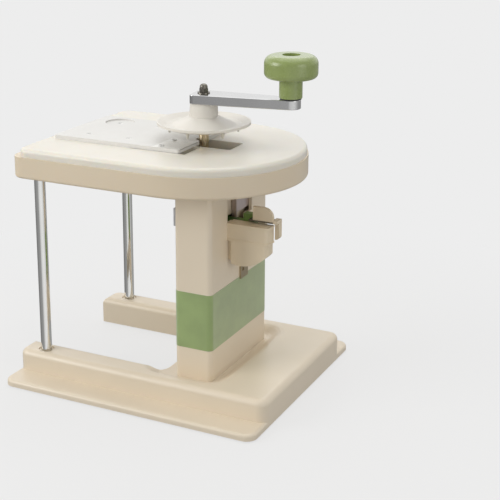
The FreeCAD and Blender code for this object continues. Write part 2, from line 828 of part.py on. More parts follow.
def disc_pins():
    pins = []
    for x, y in pins_at:
        place = FreeCAD.Vector(x, y, holder_bottom - pin_length)
        point = Part.makeCone(pin_tip_radius, pin_radius, pin_length, place)
        pins.append(join([point, rod(pin_stem_radius, holder_bottom, holder_bottom + pin_seat_depth, x, y)]))
    return group(pins)


# Crank and knob


def swung(shape):
    """Turn a piece that is drawn along +X to the crank's angle."""
    shape.rotate(FreeCAD.Vector(0, 0, 0), FreeCAD.Vector(0, 0, 1), crank_angle)
    return shape


def crank_arm():
    def at(x, y):
        return FreeCAD.Vector(x, y, hub_top)

    end = arm_end_radius
    sides = [
        Part.LineSegment(at(-arm_tail, -arm_half_width), at(crank_length, -end)),
        Part.Arc(at(crank_length, -end), at(crank_length + end, 0), at(crank_length, end)),
        Part.LineSegment(at(crank_length, end), at(-arm_tail, arm_half_width)),
        Part.LineSegment(at(-arm_tail, arm_half_width), at(-arm_tail, -arm_half_width)),
    ]
    face = Part.Face(Part.Wire([side.toShape() for side in sides]))
    body = face.extrude(FreeCAD.Vector(0, 0, arm_thickness))
    body = round_edges(body, arm_corner, lambda size: upright(size) and size.XMax < 0)
    body = round_edges(body, arm_edge, lambda size: at_level(arm_top)(size) or at_level(hub_top)(size))
    body = body.cut(rod(shaft_tip_radius + seat_gap, hub_top, arm_top))
    return swung(body.cut(rod(knob_pin_radius + seat_gap, hub_top, arm_top, crank_length)))


def arm_washer():
    return rod(arm_washer_radius, arm_top, washer_top).cut(rod(shaft_tip_radius + seat_gap, arm_top, washer_top))


def dome_nut():
    corners = [FreeCAD.Vector(dome_nut_radius * math.cos(math.radians(60 * turn)),
                              dome_nut_radius * math.sin(math.radians(60 * turn)), washer_top)
               for turn in range(6)]
    hexagon = outline_face(corners).extrude(FreeCAD.Vector(0, 0, dome_nut_hex_height))
    dome_radius = dome_nut_radius * math.cos(math.radians(30)) - seat_gap
    top = washer_top + dome_nut_height
    dome = rod(dome_radius, washer_top + dome_nut_hex_height / 2, top)
    dome = round_edges(dome, 0.8 * min(dome_radius, dome_nut_height - dome_nut_hex_height), at_level(top))
    body = join([hexagon, dome])
    return swung(body.cut(rod(shaft_tip_radius + seat_gap, washer_top, washer_top + dome_nut_hex_height)))


def knob_washer():
    top = arm_top + knob_washer_thickness
    return swung(rod(knob_washer_radius, arm_top, top, crank_length).cut(
        rod(knob_pin_radius + seat_gap, arm_top, top, crank_length)))


def knob_pin():
    top = knob_cap_bottom - rest_gap
    return swung(join([rod(knob_pin_radius, hub_top, top, crank_length),
                       rod(knob_pin_head_radius, top - knob_pin_head_height, top, crank_length)]))


def knob():
    under = knob_bottom + knob_stem_height
    head = round_edges(rod(knob_head_radius, under, knob_top), knob_top_edge, at_level(knob_top))
    head = round_edges(head, knob_under_edge, at_level(under))
    body = join([head, rod(knob_stem_radius, knob_bottom, under)])
    body = body.cut(rod(knob_dimple_radius, knob_cap_bottom, knob_top))
    body = body.cut(rod(knob_pin_radius + running_gap, knob_bottom, knob_top))
    body = body.cut(rod(knob_pin_head_radius + rest_gap, knob_cap_bottom - knob_pin_head_height - 2 * rest_gap,
                        knob_top))
    body.translate(FreeCAD.Vector(crank_length, 0, 0))
    return swung(body)


def knob_cap():
    return swung(rod(knob_dimple_radius - seat_gap, knob_cap_bottom, knob_cap_bottom + knob_cap_thickness,
                     crank_length))


# Release lever


def housing_upper(inset, y0, y1, z0, z1):
    return box(column_depth + inset, housing_end_x - inset, y0, y1, z0, z1)


def housing_lower(inset, y0, y1, top):
    """The part whose underside sweeps up to its end."""
    def at(x, z):
        return FreeCAD.Vector(x, y0, z)

    back = column_depth + housing_lower_step + inset
    nose = housing_end_x - housing_end_step - inset
    low = housing_bottom + inset
    end = low + housing_sweep_height
    sides = [
        Part.Arc(at(back, low), at(back + (nose - back) * 2 / 3, low + housing_sweep_middle), at(nose, end)),
        Part.LineSegment(at(nose, end), at(nose, top)),
        Part.LineSegment(at(nose, top), at(back, top)),
        Part.LineSegment(at(back, top), at(back, low)),
    ]
    face = Part.Face(Part.Wire([side.toShape() for side in sides]))
    return face.extrude(FreeCAD.Vector(0, y1 - y0, 0))


def near_corner(y, x):
    """Tests for a block's upright edge at its near end."""
    return lambda size: upright(size) and abs(size.YMin - y) < 1e-3 and abs(size.XMin - x) < 1e-3


def housing_near_side():
    wall = housing_wall
    y0 = slot_start_y
    step = housing_top - housing_upper_height
    lower = round_edges(housing_lower(0, y0, housing_near_y, step), housing_corner,
                        near_corner(y0, housing_end_x - housing_end_step))
    upper = round_edges(housing_upper(0, y0, housing_near_y, step, housing_top), housing_corner,
                        near_corner(y0, housing_end_x))
    rib = box(column_depth, column_depth + housing_lower_step + wall, y0 + housing_rib_setback,
              y0 + housing_rib_setback + wall, housing_bottom + wall, step + wall)
    beads = [round_edges(housing_upper(-housing_bead, y0 - housing_bead, housing_near_y, z, z + housing_bead_height),
                         housing_corner, near_corner(y0 - housing_bead, housing_end_x + housing_bead))
             for z in (step, housing_top - housing_bead_height)]
    body = join([upper, lower] + beads)
    body = body.cut(housing_upper(wall, y0 + wall, housing_near_y, step, housing_top - wall))
    body = body.cut(housing_lower(wall, y0 + wall, housing_near_y, step))
    body = join([body, rib])
    return body.cut(box(0, column_depth, y0 - wall, housing_near_y, housing_bottom, housing_top))


def lever_housing():
    wall = housing_wall
    boss = rod_y(lever_pin_radius + wall, slot_start_y + wall / 2, housing_near_y, lever_pivot_x, lever_pivot_z)
    far = box(column_depth, far_cheek_end_x, far_cheek_start_y, far_cheek_end_y, housing_bottom, far_cheek_top)
    floor = box(column_depth, far_cheek_end_x, housing_near_y - wall, far_cheek_end_y,
                housing_bottom + wall, housing_bottom + 2 * wall)
    back = box(column_depth, column_depth + wall, housing_near_y - wall, far_cheek_end_y,
               housing_bottom + wall, housing_bottom + housing_back_height)
    body = join([housing_near_side(), boss, far, floor, back])
    for y in housing_screws_at:
        body = body.cut(rod_x(screw_hole, column_depth, column_depth + wall, y, housing_screw_z))
    return body.cut(rod_y(lever_pin_radius + seat_gap, slot_start_y + wall, far_cheek_end_y,
                          lever_pivot_x, lever_pivot_z))


def housing_screws():
    return group([screw_x(y, housing_screw_z, column_depth + housing_wall, housing_wall + column_wall, -1)
                  for y in housing_screws_at])


def lever_pin():
    return rod_y(lever_pin_radius, slot_start_y + housing_wall, far_cheek_end_y, lever_pivot_x, lever_pivot_z)


def release_lever():
    y0 = lever_start_y
    y1 = lever_end_y
    half = lever_inner_half_width
    low = lever_pivot_z - lever_bar_drop
    body = join([
        rod_y(lever_hub_radius, y0, y1, lever_pivot_x, lever_pivot_z),
        box(lever_head_start_x, lever_head_end_x, y0, y0 + lever_head_depth, lever_pivot_z, lever_head_top),
        box(lever_post_x, lever_pivot_x, -half, half, low, low + lever_bar_height),
        box(lever_post_x, lever_post_x + lever_post_width, -half, half, low, lever_post_top),
    ])
    body = body.cut(rod_y(lever_pin_radius + running_gap, y0, y1, lever_pivot_x, lever_pivot_z))
    return body.cut(box(lever_head_end_x - strip_hold, lever_head_end_x, y0, strip_end_y, strip_bottom, strip_top))


def brake_shoe():
    low = lever_post_top - shoe_height
    body = box(shaft_radius / 2, lever_post_x, -lever_inner_half_width, lever_inner_half_width, low, lever_post_top)
    return body.cut(rod(shaft_radius + rest_gap, low, lever_post_top))


def lever_strip():
    return box(lever_head_end_x - strip_hold, strip_end_x, strip_start_y, strip_end_y, strip_bottom, strip_top)


def thumb_tab():
    """A wall on the strip for the thumb, and an end that hooks down beside the housing."""
    wall = box(tab_start_x, tab_start_x + tab_length, tab_start_y, tab_start_y + tab_width,
               strip_top, strip_top + tab_height)
    wall = round_edges(wall, tab_corner, lambda size: crosswise(size) and size.XMin > tab_start_x + tab_overlap
                       and size.ZMin > strip_top + tab_overlap)
    end = box(tab_start_x + tab_length - tab_overlap, tab_end_x, tab_start_y, strip_end_y,
              strip_top, strip_top + tab_end_rise)
    cap = box(strip_end_x, tab_end_x, tab_start_y, strip_end_y, strip_bottom, strip_top)
    tip = strip_top - hook_drop
    hook = box(strip_end_x, tab_end_x, hook_start_y, strip_end_y, tip, strip_bottom)
    hook = round_edges(hook, hook_corner, lambda size: crosswise(size) and size.XMin > tab_end_x - tab_overlap
                       and size.ZMax < tip + tab_overlap)
    return join([wall, end, cap, hook])


pieces = {
    "base": base(),
    "bottom_cover": bottom_cover(),
    "rubber_feet": rubber_feet(),
    "base_screws": base_screws(),
    "base_bolts": base_bolts(),
    "front_post": post(-1),
    "rear_post": post(1),
    "tray_bolts": tray_bolts(),
    "column": column(),
    "green_band": green_band(),
    "band_clip": band_clip(),
    "guide_strap": guide_strap(),
    "strap_screws": strap_screws(),
    "guide_block": guide_block(),
    "shaft_bush": shaft_bush(),
    "slot_plate": slot_plate(),
    "slot_plate_screws": slot_plate_screws(),
    "deck_tray": deck_tray(),
    "deck_cover": deck_cover(),
    "deck_screws": deck_screws(),
    "blade_plate": blade_plate(),
    "plate_screws": plate_screws(),
    "blade": blade(),
    "blade_screws": blade_screws(),
    "feed_shaft": feed_shaft(),
    "shaft_clips": shaft_clips(),
    "shaft_slider": shaft_slider(),
    "holder_disc": holder_disc(),
    "disc_pins": disc_pins(),
    "crank_arm": crank_arm(),
    "arm_washer": arm_washer(),
    "dome_nut": dome_nut(),
    "knob_washer": knob_washer(),
    "knob_pin": knob_pin(),
    "knob": knob(),
    "knob_cap": knob_cap(),
    "lever_housing": lever_housing(),
    "housing_screws": housing_screws(),
    "lever_pin": lever_pin(),
    "release_lever": release_lever(),
    "brake_shoe": brake_shoe(),
    "lever_strip": lever_strip(),
    "thumb_tab": thumb_tab(),
}

os.makedirs("parts", exist_ok=True)
for name, shape in pieces.items():
    shape.exportStep("parts/" + name + ".step")
    size = shape.BoundBox
    print(name, len(shape.Solids), shape.isValid(), round(shape.Volume),
          [round(value, 1) for value in (size.XMin, size.XMax, size.YMin, size.YMax, size.ZMin, size.ZMax)])
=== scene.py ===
import json
import math
import bpy
import bmesh
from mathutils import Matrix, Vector


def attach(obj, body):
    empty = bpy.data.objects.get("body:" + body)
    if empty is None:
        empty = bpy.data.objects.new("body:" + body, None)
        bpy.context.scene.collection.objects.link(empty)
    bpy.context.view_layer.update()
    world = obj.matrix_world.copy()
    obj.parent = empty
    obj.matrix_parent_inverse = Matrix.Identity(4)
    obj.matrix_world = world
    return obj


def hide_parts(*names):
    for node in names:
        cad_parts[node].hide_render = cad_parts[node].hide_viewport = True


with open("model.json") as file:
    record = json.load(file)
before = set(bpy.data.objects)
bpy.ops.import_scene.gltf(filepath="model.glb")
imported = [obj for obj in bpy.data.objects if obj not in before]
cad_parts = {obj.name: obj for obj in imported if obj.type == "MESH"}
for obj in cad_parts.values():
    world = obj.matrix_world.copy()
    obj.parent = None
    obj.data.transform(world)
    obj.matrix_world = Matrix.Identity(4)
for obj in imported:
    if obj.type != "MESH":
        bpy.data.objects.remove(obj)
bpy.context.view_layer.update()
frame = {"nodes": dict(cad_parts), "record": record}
nodes = frame["nodes"]
print("frame loaded,", len(nodes), "nodes")


# small helpers

def clearSelection():
    if bpy.context.object and bpy.context.object.mode != "OBJECT":
        bpy.ops.object.mode_set(mode="OBJECT")
    bpy.ops.object.select_all(action="DESELECT")


def pickOnly(piece):
    clearSelection()
    piece.select_set(True)
    bpy.context.view_layer.objects.active = piece


def pickFaces(piece, wanted):
    # faces that pass the test, in edit mode
    bpy.ops.mesh.select_all(action="DESELECT")
    mesh = bmesh.from_edit_mesh(piece.data)
    for face in mesh.faces:
        if wanted(face.calc_center_median(), face.normal):
            face.select_set(True)
    bmesh.update_edit_mesh(piece.data)


def startEdit(piece):
    pickOnly(piece)
    bpy.ops.object.mode_set(mode="EDIT")
    bpy.ops.mesh.select_mode(type="FACE")


edgeLook = {"segments": 2, "sharpAngle": 50, "smoothAngle": 35}  # angles in degrees


def softenEdges(piece, width):
    pickOnly(piece)
    bevel = piece.modifiers.new("softEdges", "BEVEL")
    bevel.width = width
    bevel.segments = edgeLook["segments"]
    bevel.limit_method = "ANGLE"
    bevel.angle_limit = math.radians(edgeLook["sharpAngle"])
    bpy.ops.object.modifier_apply(modifier="softEdges")
    bpy.ops.object.shade_smooth_by_angle(angle=math.radians(edgeLook["smoothAngle"]))


def slideFaces(way):
    # extrudes the picked faces along z
    bpy.ops.mesh.extrude_region_move(TRANSFORM_OT_translate={"value": (0, 0, way)})


def placeCopies(model, name, places, turn):
    # own copies of the model, turned and set down, then joined with their place in the mesh
    copies = []
    for place in places:
        copy = model.copy()
        copy.data = model.data.copy()
        bpy.context.scene.collection.objects.link(copy)
        copy.location = place
        copy.rotation_euler = turn
        copies.append(copy)
    clearSelection()
    for copy in copies:
        copy.select_set(True)
    bpy.context.view_layer.objects.active = copies[0]
    bpy.ops.object.join()
    piece = bpy.context.object
    bpy.ops.object.transform_apply(location=True, rotation=True, scale=True)
    piece.name = name
    piece.data.name = name
    return piece


def tone(red, green, blue):
    # a colour as it looks on screen, 0 to 255, made linear
    def straight(value):
        value = value / 255
        return value / 12.92 if value <= 0.04045 else ((value + 0.055) / 1.055) ** 2.4
    return (straight(red), straight(green), straight(blue), 1)


def grey(value):
    return (value, value, value, 1)


# finishes

def startFinish(name):
    material = bpy.data.materials.new(name)
    material.use_nodes = True
    tree = material.node_tree
    tree.nodes.clear()
    output = tree.nodes.new("ShaderNodeOutputMaterial")
    shader = tree.nodes.new("ShaderNodeBsdfPrincipled")
    tree.links.new(shader.outputs["BSDF"], output.inputs["Surface"])
    return material, tree, shader


def noiseOn(tree, scale, detail, stretch=(1, 1, 1), roughness=0.5):
    # noise in the piece's own metres, stretched along an axis where the finish has a grain
    place = tree.nodes.new("ShaderNodeTexCoord")
    mapping = tree.nodes.new("ShaderNodeMapping")
    mapping.inputs["Scale"].default_value = stretch
    noise = tree.nodes.new("ShaderNodeTexNoise")
    noise.inputs["Scale"].default_value = scale
    noise.inputs["Detail"].default_value = detail
    noise.inputs["Roughness"].default_value = roughness
    tree.links.new(place.outputs["Object"], mapping.inputs["Vector"])
    tree.links.new(mapping.outputs["Vector"], noise.inputs["Vector"])
    return noise.outputs["Fac"]


def rampOn(tree, factor, stops):
    ramp = tree.nodes.new("ShaderNodeValToRGB")
    while len(ramp.color_ramp.elements) < len(stops):
        ramp.color_ramp.elements.new(0.5)
    for element, (position, colour) in zip(ramp.color_ramp.elements, stops):
        element.position = position
        element.color = colour
    tree.links.new(factor, ramp.inputs["Fac"])
    return ramp.outputs["Color"]


def spanOn(tree, factor, low, high, fromLow=0.3, fromHigh=0.7):
    span = tree.nodes.new("ShaderNodeMapRange")
    span.inputs["From Min"].default_value = fromLow
    span.inputs["From Max"].default_value = fromHigh
    span.inputs["To Min"].default_value = low
    span.inputs["To Max"].default_value = high
    tree.links.new(factor, span.inputs["Value"])
    return span.outputs["Result"]


def bumpOn(tree, shader, height, strength, distance):
    bump = tree.nodes.new("ShaderNodeBump")
    bump.inputs["Strength"].default_value = strength
    bump.inputs["Distance"].default_value = distance
    tree.links.new(height, bump.inputs["Height"])
    tree.links.new(bump.outputs["Normal"], shader.inputs["Normal"])


def mathOn(tree, operation, first, second):
    step = tree.nodes.new("ShaderNodeMath")
    step.operation = operation
    tree.links.new(first, step.inputs[0])
    tree.links.new(second, step.inputs[1])
    return step.outputs[0]


def mixOn(tree, factor, first, second):
    mix = tree.nodes.new("ShaderNodeMixShader")
    tree.links.new(factor, mix.inputs["Fac"])
    tree.links.new(first, mix.inputs[1])
    tree.links.new(second, mix.inputs[2])
    return mix.outputs["Shader"]


def cloudOn(tree, shader, look):
    # the colour, a little darker in soft patches
    patches = noiseOn(tree, look["cloudScale"], look["cloudDetail"])
    shaded = tuple(part * look["shadeDown"] for part in look["colour"][:3]) + (1,)
    clouded = rampOn(tree, patches, [(look["cloudFrom"], shaded), (look["cloudTo"], look["colour"])])
    tree.links.new(clouded, shader.inputs["Base Color"])


# all moulded pieces share these, unless their own look says otherwise
moulding = {"cloudDetail": 3, "cloudFrom": 0.35, "cloudTo": 0.62,
            "glossPerCloud": 6, "glossDetail": 4, "glossDown": 0.05, "glossUp": 0.06,
            "scuffScale": 48, "scuffDetail": 7, "scuffRoughness": 0.62, "scuffFrom": 0.60, "scuffTo": 0.72,
            "scuffDulling": 0.14, "grainDetail": 2, "grainDepth": 0.0002,
            "sheen": 0, "sheenRoughness": 0.5, "coat": 0, "coatRoughness": 0.3,
            "glow": 0, "glowRadius": (1, 0.7, 0.35), "glowScale": 0.006}


def mouldedPlastic(name, look):
    # clouded colour, a fine moulded grain and slightly uneven gloss
    look = {**moulding, **look}
    material, tree, shader = startFinish(name)
    cloudOn(tree, shader, look)
    uneven = noiseOn(tree, look["cloudScale"] * look["glossPerCloud"], look["glossDetail"])
    gloss = spanOn(tree, uneven, look["roughness"] - look["glossDown"], look["roughness"] + look["glossUp"])
    # dull scuffs from handling, here and there
    handled = noiseOn(tree, look["scuffScale"], look["scuffDetail"], roughness=look["scuffRoughness"])
    scuffs = spanOn(tree, handled, 0, look["scuffDulling"], look["scuffFrom"], look["scuffTo"])
    tree.links.new(mathOn(tree, "ADD", gloss, scuffs), shader.inputs["Roughness"])
    grain = noiseOn(tree, look["grainScale"], look["grainDetail"])
    bumpOn(tree, shader, grain, look["grainStrength"], look["grainDepth"])
    shader.inputs["IOR"].default_value = look["ior"]
    shader.inputs["Sheen Weight"].default_value = look["sheen"]
    shader.inputs["Sheen Roughness"].default_value = look["sheenRoughness"]
    shader.inputs["Coat Weight"].default_value = look["coat"]
    shader.inputs["Coat Roughness"].default_value = look["coatRoughness"]
    # thin walls let a little warm light through
    shader.inputs["Subsurface Weight"].default_value = look["glow"]
    shader.inputs["Subsurface Radius"].default_value = look["glowRadius"]
    shader.inputs["Subsurface Scale"].default_value = look["glowScale"]
    return material


# all metal pieces share these, unless their own look says otherwise
metalwork = {"metal": 1, "shadeDown": 0.93, "cloudScale": 30, "cloudDetail": 3,
             "cloudFrom": 0.3, "cloudTo": 0.7, "glossLow": 0.7, "glossHigh": 1.4,
             "hairDetail": 5, "hairDepth": 0.0001}


def polishedMetal(name, look):
    # bright metal with hairlines along its length
    look = {**metalwork, **look}
    material, tree, shader = startFinish(name)
    shader.inputs["Metallic"].default_value = look["metal"]
    cloudOn(tree, shader, look)
    hairs = noiseOn(tree, look["hairScale"], look["hairDetail"], look["hairStretch"])
    gloss = spanOn(tree, hairs, look["roughness"] * look["glossLow"], look["roughness"] * look["glossHigh"])
    tree.links.new(gloss, shader.inputs["Roughness"])
    bumpOn(tree, shader, hairs, look["hairStrength"], look["hairDepth"])
    return material


def softRubber(name, look):
    # dull black with a coarse grain
    material, tree, shader = startFinish(name)
    cloudOn(tree, shader, look)
    shader.inputs["Roughness"].default_value = look["roughness"]
    grain = noiseOn(tree, look["grainScale"], look["grainDetail"])
    bumpOn(tree, shader, grain, look["grainStrength"], look["grainDepth"])
    return material


rubberLook = {"colour": tone(48, 47, 46), "shadeDown": 0.6, "cloudScale": 60, "cloudDetail": 4,
              "cloudFrom": 0.3, "cloudTo": 0.7, "roughness": 0.8, "grainScale": 1500, "grainDetail": 3,
              "grainStrength": 0.4, "grainDepth": 0.0002}
plasticLooks = {
    "creamPlastic": {"colour": tone(230, 216, 193), "shadeDown": 0.965, "cloudScale": 9, "roughness": 0.36,
                     "grainScale": 1600, "grainStrength": 0.10, "ior": 1.47, "coat": 0.25},
    # painted shade: the deck tray gets a darker copy of the cream plastic, standing in for the lesser light
    # on the deck's sides
    "trayCreamPaintedShade": {"colour": tone(223, 207, 181), "shadeDown": 0.965, "cloudScale": 9, "roughness": 0.36,
                  "grainScale": 1600, "grainStrength": 0.10, "ior": 1.47, "coat": 0.25, "glow": 0.12},
    # partly painted highlight: the cover's own paler cream, made whiter still to stand in for the bright
    # light on its top
    "coverCreamAndPaintedHighlight": {"colour": tone(231, 225, 212), "shadeDown": 0.97, "cloudScale": 9, "roughness": 0.38,
                   "grainScale": 1600, "grainStrength": 0.10, "ior": 1.47, "coat": 0.25, "glow": 0.25},
    "housingCream": {"colour": tone(228, 212, 184), "shadeDown": 0.95, "cloudScale": 20, "roughness": 0.40,
                     "grainScale": 1600, "grainStrength": 0.12, "ior": 1.47},
    "whitePlastic": {"colour": tone(224, 222, 217), "shadeDown": 0.98, "cloudScale": 12, "roughness": 0.36,
                     "grainScale": 1800, "grainStrength": 0.06, "ior": 1.48},
    "holderWhite": {"colour": tone(226, 221, 211), "shadeDown": 0.98, "cloudScale": 14, "roughness": 0.34,
                    "grainScale": 1800, "grainStrength": 0.06, "ior": 1.48},
    "knobGreen": {"colour": tone(143, 158, 92), "shadeDown": 0.93, "cloudScale": 30, "roughness": 0.26,
                  "grainScale": 1500, "grainStrength": 0.10, "ior": 1.5, "coat": 0.4},
    "bandGreen": {"colour": tone(146, 168, 104), "shadeDown": 0.86, "cloudScale": 45, "roughness": 0.42,
                  "grainScale": 900, "grainStrength": 0.22, "ior": 1.5, "sheen": 1.0},
    "leverGreen": {"colour": tone(116, 150, 78), "shadeDown": 0.9, "cloudScale": 30, "roughness": 0.42,
                   "grainScale": 1500, "grainStrength": 0.12, "ior": 1.46},
    "nylon": {"colour": tone(212, 208, 196), "shadeDown": 0.95, "cloudScale": 40, "roughness": 0.5,
              "grainScale": 1200, "grainStrength": 0.12, "ior": 1.5},
    "blackPlastic": {"colour": tone(42, 41, 40), "shadeDown": 0.8, "cloudScale": 40, "roughness": 0.45,
                     "grainScale": 1400, "grainStrength": 0.15, "ior": 1.46},
}
metalLooks = {
    "postChrome": {"colour": tone(226, 226, 224), "roughness": 0.09,
                   "hairScale": 260, "hairStretch": (8, 8, 0.35), "hairStrength": 0.05},
    "armChrome": {"colour": tone(197, 197, 197), "roughness": 0.12,
                  "hairScale": 220, "hairStretch": (0.5, 6, 6), "hairStrength": 0.06},
    "bladeSteel": {"colour": tone(238, 237, 233), "metal": 0.6, "roughness": 0.38,
                   "hairScale": 500, "hairStretch": (0.3, 6, 6), "hairStrength": 0.10},
    "plainSteel": {"colour": tone(196, 190, 180), "roughness": 0.34,
                   "hairScale": 400, "hairStretch": (4, 4, 0.5), "hairStrength": 0.12},
    # painted reflection: the shaft's steel is tinted warm brown, standing in for the cream walls of the
    # deck's window that it reflects
    "shaftSteelPaintedReflection": {"colour": tone(206, 190, 160), "roughness": 0.30,
                   "hairScale": 400, "hairStretch": (4, 4, 0.5), "hairStrength": 0.10},
    "slotSteel": {"colour": tone(196, 184, 180), "roughness": 0.42,
                  "hairScale": 400, "hairStretch": (4, 4, 0.5), "hairStrength": 0.10},
    "strapSteel": {"colour": tone(214, 213, 212), "roughness": 0.34,
                   "hairScale": 350, "hairStretch": (3, 3, 1), "hairStrength": 0.12},
    "clipSteel": {"colour": tone(172, 158, 130), "roughness": 0.36,
                  "hairScale": 350, "hairStretch": (3, 3, 1), "hairStrength": 0.12},
    "darkSteel": {"colour": tone(118, 114, 106), "roughness": 0.34,
                  "hairScale": 350, "hairStretch": (3, 3, 1), "hairStrength": 0.15},
    "paleSteel": {"colour": tone(208, 207, 204), "metal": 0.7, "roughness": 0.40,
                  "hairScale": 900, "hairStretch": (1, 1, 1), "hairStrength": 0.08},
    "screwSteel": {"colour": tone(196, 195, 194), "roughness": 0.30,
                   "hairScale": 900, "hairStretch": (1, 1, 1), "hairStrength": 0.10},
}
finishes = {name: mouldedPlastic(name, look) for name, look in plasticLooks.items()}
finishes.update({name: polishedMetal(name, look) for name, look in metalLooks.items()})
finishes["footRubber"] = softRubber("footRubber", rubberLook)

# the record's material slots, and the nodes that differ from their slot
finishOfSlot = {
    "cream_plastic": "creamPlastic",
    "cream_cover": "coverCreamAndPaintedHighlight",
    "white_plastic": "whitePlastic",
    "green_plastic": "knobGreen",
    "green_band": "bandGreen",
    "dark_green_plastic": "leverGreen",
    "black_rubber": "footRubber",
    "black_plastic": "blackPlastic",
    "chrome_steel": "postChrome",
    "steel": "plainSteel",
    "dark_steel": "darkSteel",
    "screw_steel": "screwSteel",
    "nylon": "nylon",
}
slotOfNode = {part["node"]: part["material_slot"] for part in frame["record"]["subparts"]}
ownFinish = {
    "deck_tray": "trayCreamPaintedShade",
    "lever_housing": "housingCream",
    "thumb_tab": "housingCream",
    "holder_disc": "holderWhite",
    "disc_pins": "nylon",
    "crank_arm": "armChrome",
    "feed_shaft": "shaftSteelPaintedReflection",
    "blade": "bladeSteel",
    "slot_plate": "slotSteel",
    "guide_strap": "strapSteel",
    "band_clip": "clipSteel",
}
for name, node in nodes.items():
    finish = finishes[ownFinish.get(name, finishOfSlot[slotOfNode[name]])]
    node.data.materials.clear()
    node.data.materials.append(finish)
print("finishes set")


# screws with a cross recess, and rubber feet

headLook = {"sides": 28, "rim": 0.32,  # the rim in shares of the head's radius
            "cutWithin": 0.97, "sinkWithin": 0.90}  # shares of the circle inside the rim
flat = 0.9  # a face is level when its normal's z is past this
nearly = 0.99  # keeps a test clear of the edge it tests


def makeCrossScrew(look):
    # the head stands on z 0 and faces up, and the stem goes down from it
    clearSelection()
    bpy.ops.mesh.primitive_cylinder_add(vertices=headLook["sides"], radius=look["head"],
                                        depth=look["height"], location=(0, 0, look["height"] / 2))
    screw = bpy.context.object
    bpy.ops.object.transform_apply(location=True, rotation=True, scale=True)
    startEdit(screw)
    pickFaces(screw, lambda middle, normal: normal.z > flat)
    bpy.ops.mesh.inset(thickness=look["head"] * headLook["rim"])
    inner = look["head"] * (1 - headLook["rim"])
    half = look["recessHalf"]

    def inHead(middle, normal, share):
        return normal.z > flat and math.hypot(middle.x, middle.y) < inner * share

    # four cuts across the head, and the cross between them is sunk
    for x, y in ((half, 0), (-half, 0), (0, half), (0, -half)):
        pickFaces(screw, lambda middle, normal: inHead(middle, normal, headLook["cutWithin"]))
        bpy.ops.mesh.bisect(plane_co=(x, y, 0), plane_no=(1, 0, 0) if x else (0, 1, 0))
    pickFaces(screw, lambda middle, normal: inHead(middle, normal, headLook["sinkWithin"])
              and min(abs(middle.x), abs(middle.y)) < half * nearly)
    slideFaces(-look["recessDepth"])
    pickFaces(screw, lambda middle, normal: normal.z < -flat)
    bpy.ops.mesh.inset(thickness=look["head"] - look["stem"])
    slideFaces(-look["reach"])
    bpy.ops.object.mode_set(mode="OBJECT")
    softenEdges(screw, look["soft"])
    return screw


def makeScrewSet(look):
    model = makeCrossScrew(look)
    model.data.materials.clear()
    model.data.materials.append(finishes[look["finish"]])
    piece = placeCopies(model, look["name"], look["places"], look["turn"])
    bpy.data.objects.remove(model)
    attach(piece, "frame")
    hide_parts(look["node"])


faceUp, faceDown, faceBack = (0, 0, 0), (math.pi, 0, 0), (0, -math.pi / 2, 0)
screwSets = [
    {"name": "plateScrews", "node": "plate_screws", "finish": "paleSteel", "turn": faceUp,
     "head": 0.0028, "height": 0.0016, "stem": 0.0015, "reach": 0.0036,
     "recessHalf": 0.0004, "recessDepth": 0.0009, "soft": 0.0002,
     "places": [(-0.105, -0.027, 0.2259), (-0.105, 0.027, 0.2247), (-0.0625, -0.027, 0.2259),
                (-0.0625, 0.027, 0.2259)]},
    {"name": "bladeScrews", "node": "blade_screws", "finish": "paleSteel", "turn": faceUp,
     "head": 0.0024, "height": 0.0008, "stem": 0.0015, "reach": 0.0034,
     "recessHalf": 0.00035, "recessDepth": 0.0005, "soft": 0.00015,
     "places": [(-0.022, -0.039, 0.2275), (-0.022, -0.016, 0.2275)]},
    {"name": "strapScrews", "node": "strap_screws", "finish": "screwSteel", "turn": faceBack,
     "head": 0.0028, "height": 0.0016, "stem": 0.0015, "reach": 0.0089,
     "recessHalf": 0.0004, "recessDepth": 0.0009, "soft": 0.0003,
     "places": [(-0.002, -0.03325, 0.1687), (-0.002, 0.03325, 0.1687)]},
    {"name": "baseScrews", "node": "base_screws", "finish": "screwSteel", "turn": faceDown,
     "head": 0.0028, "height": 0.0008, "stem": 0.0015, "reach": 0.0062,
     "recessHalf": 0.0004, "recessDepth": 0.0006, "soft": 0.0002,
     "places": [(-0.1085, -0.07375, 0.0023), (-0.1085, 0.07375, 0.0023), (0.091, -0.0605, 0.0023),
                (0.091, 0.0605, 0.0023)]},
    {"name": "deckScrews", "node": "deck_screws", "finish": "screwSteel", "turn": faceDown,
     "head": 0.0028, "height": 0.0016, "stem": 0.0015, "reach": 0.0226,
     "recessHalf": 0.0004, "recessDepth": 0.0009, "soft": 0.0002,
     "places": [(-0.1085, -0.0829, 0.1983), (-0.1085, 0.0829, 0.1983), (-0.013, -0.0829, 0.1983),
                (-0.013, 0.0829, 0.1983)]},
]
for screwSet in screwSets:
    makeScrewSet(screwSet)
print("screws made")


def makeFeet(look):
    # a round pad with a sunk ring underneath, and a plug that holds it
    clearSelection()
    bpy.ops.mesh.primitive_cylinder_add(vertices=look["sides"], radius=look["radius"],
                                        depth=look["height"], location=(0, 0, look["height"] / 2))
    foot = bpy.context.object
    bpy.ops.object.transform_apply(location=True, rotation=True, scale=True)
    startEdit(foot)
    pickFaces(foot, lambda middle, normal: normal.z < -flat)
    bpy.ops.mesh.inset(thickness=look["rim"])
    slideFaces(look["sunk"])
    bpy.ops.mesh.inset(thickness=look["ring"])
    slideFaces(-look["sunk"])
    pickFaces(foot, lambda middle, normal: normal.z > flat and middle.z > look["height"] * nearly)
    bpy.ops.mesh.inset(thickness=look["radius"] - look["plug"])
    slideFaces(look["plugHeight"])
    bpy.ops.object.mode_set(mode="OBJECT")
    softenEdges(foot, look["soft"])
    foot.data.materials.clear()
    foot.data.materials.append(finishes["footRubber"])
    piece = placeCopies(foot, "rubberFeet", look["places"], faceUp)
    bpy.data.objects.remove(foot)
    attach(piece, "frame")
    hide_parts("rubber_feet")


